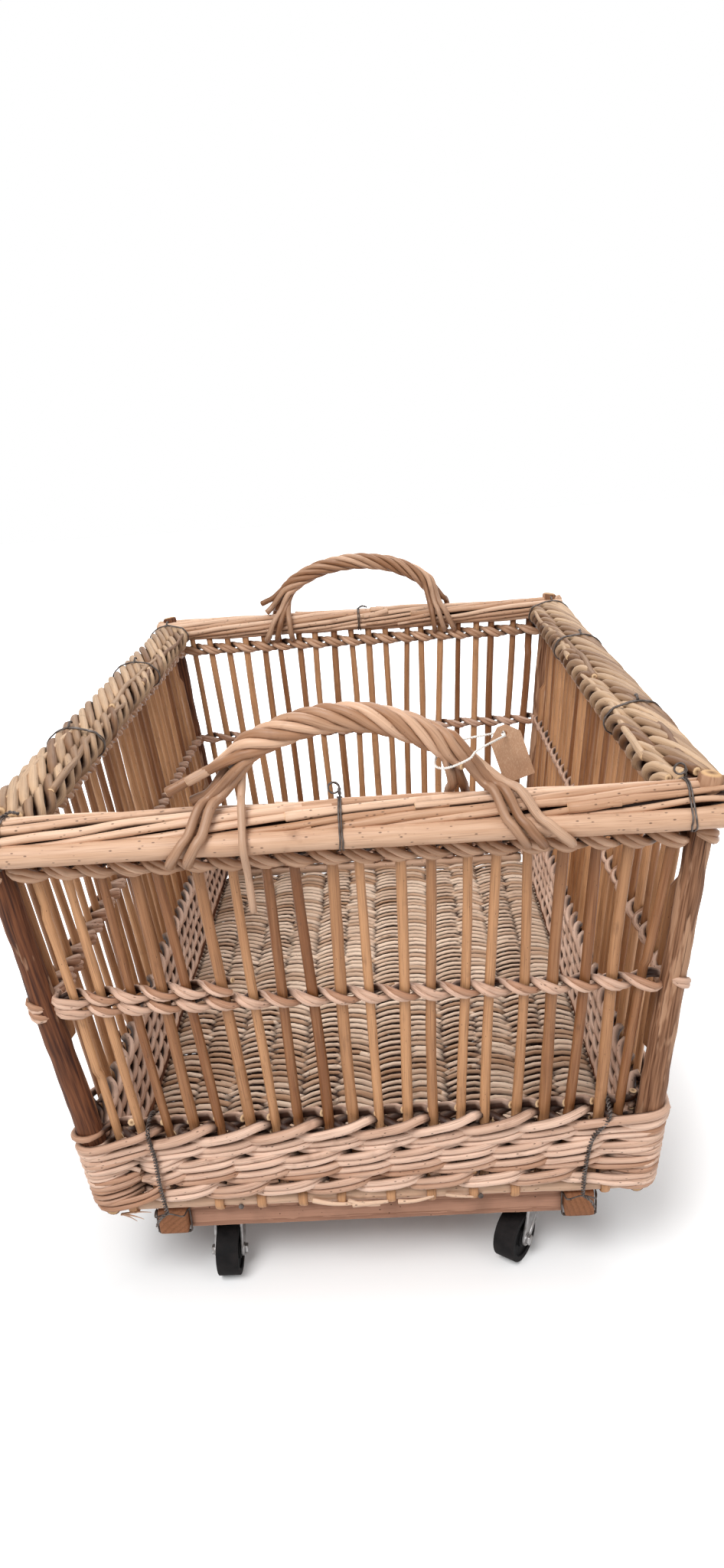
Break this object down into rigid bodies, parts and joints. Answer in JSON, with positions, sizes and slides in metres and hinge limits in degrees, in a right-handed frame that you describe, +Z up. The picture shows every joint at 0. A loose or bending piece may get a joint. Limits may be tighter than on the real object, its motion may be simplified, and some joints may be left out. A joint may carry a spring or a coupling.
{
  "type": "laundry basket",
  "caption": "Rectangular open wicker laundry basket with two rope-twisted handles, tied with wire to a wooden frame that rolls on swivel casters.",
  "frame": {"origin": "on the ground under the middle of the basket", "axes": "+Z up, +X to the right and +Y to the far end as the basket is seen from its front handle"},
  "size_m": [0.6436, 0.9206, 0.615],
  "materials": {
    "peeled_willow": "peeled buff willow, satin",
    "buff_willow": "peeled buff willow, dull",
    "stake_willow": "aged willow stakes, satin",
    "bark_willow": "bark-on stick, dull",
    "floor_willow": "fine willow weave, dull",
    "pine": "aged sawn softwood",
    "zinc_steel": "dull zinc plate",
    "black_rubber": "black moulded wheel",
    "iron_wire": "dark annealed wire",
    "kraft_paper": "bare kraft paper",
    "cotton_string": "white twisted string"
  },
  "bodies": {
    "basket": {"rail_left": "pine", "rail_right": "pine", "board_front": "pine", "board_back": "pine", "caster_plate_front_left": "zinc_steel", "caster_plate_front_right": "zinc_steel", "caster_plate_back_left": "zinc_steel", "caster_plate_back_right": "zinc_steel", "base_stick_front": "peeled_willow", "base_stick_back": "peeled_willow", "base_stick_left": "bark_willow", "base_stick_right": "bark_willow", "floor_weave": "floor_willow", "wall_front": "stake_willow", "wall_back": "buff_willow", "wall_left": "buff_willow", "wall_right": "buff_willow", "post_front_left": "bark_willow", "post_front_right": "bark_willow", "post_back_left": "bark_willow", "post_back_right": "bark_willow", "rim_front": "peeled_willow", "rim_back": "peeled_willow", "rim_left": "peeled_willow", "rim_right": "peeled_willow", "rim_stick_front": "peeled_willow", "rim_stick_back": "peeled_willow", "tie_front_left": "iron_wire", "tie_front_middle": "iron_wire", "tie_front_right": "iron_wire", "tie_back_middle": "iron_wire", "tie_left_fore": "iron_wire", "tie_left_mid": "iron_wire", "tie_left_aft": "iron_wire", "tie_right_fore": "iron_wire", "tie_right_mid": "iron_wire", "tie_right_aft": "iron_wire", "frame_tie_front_left": "iron_wire", "frame_tie_front_right": "iron_wire", "frame_tie_back_left": "iron_wire", "frame_tie_back_right": "iron_wire", "handle_front": "peeled_willow", "handle_back": "peeled_willow", "tag": "kraft_paper", "tag_string": "cotton_string"},
    "swivel_front_left": {"caster_fork_front_left": "zinc_steel", "caster_bolt_front_left": "zinc_steel"},
    "wheel_front_left": {"caster_wheel_front_left": "black_rubber"},
    "swivel_front_right": {"caster_fork_front_right": "zinc_steel", "caster_bolt_front_right": "zinc_steel"},
    "wheel_front_right": {"caster_wheel_front_right": "black_rubber"},
    "swivel_back_left": {"caster_fork_back_left": "zinc_steel", "caster_bolt_back_left": "zinc_steel"},
    "wheel_back_left": {"caster_wheel_back_left": "black_rubber"},
    "swivel_back_right": {"caster_fork_back_right": "zinc_steel", "caster_bolt_back_right": "zinc_steel"},
    "wheel_back_right": {"caster_wheel_back_right": "black_rubber"}
  },
  "joints": [
    {"name": "caster_swivel_front_left", "type": "hinge", "parent": "basket", "child": "swivel_front_left", "pos_m": [-0.15199, -0.33603, 0.058], "axis": [0, 0, 1], "continuous": true},
    {"name": "caster_roll_front_left", "type": "hinge", "parent": "swivel_front_left", "child": "wheel_front_left", "pos_m": [-0.15199, -0.36003, 0.02462], "axis": [1, 0, 0], "continuous": true},
    {"name": "caster_swivel_front_right", "type": "hinge", "parent": "basket", "child": "swivel_front_right", "pos_m": [0.15199, -0.33603, 0.058], "axis": [0, 0, 1], "continuous": true},
    {"name": "caster_roll_front_right", "type": "hinge", "parent": "swivel_front_right", "child": "wheel_front_right", "pos_m": [0.13822, -0.35569, 0.02462], "axis": [0.8192, -0.5736, 0], "continuous": true},
    {"name": "caster_swivel_back_left", "type": "hinge", "parent": "basket", "child": "swivel_back_left", "pos_m": [-0.15199, 0.33603, 0.058], "axis": [0, 0, 1], "continuous": true},
    {"name": "caster_roll_back_left", "type": "hinge", "parent": "swivel_back_left", "child": "wheel_back_left", "pos_m": [-0.14222, 0.3141, 0.02462], "axis": [0.9135, 0.4067, 0], "continuous": true},
    {"name": "caster_swivel_back_right", "type": "hinge", "parent": "basket", "child": "swivel_back_right", "pos_m": [0.15199, 0.33603, 0.058], "axis": [0, 0, 1], "continuous": true},
    {"name": "caster_roll_back_right", "type": "hinge", "parent": "swivel_back_right", "child": "wheel_back_right", "pos_m": [0.13999, 0.35681, 0.02462], "axis": [-0.866, -0.5, 0], "continuous": true}
  ]
}
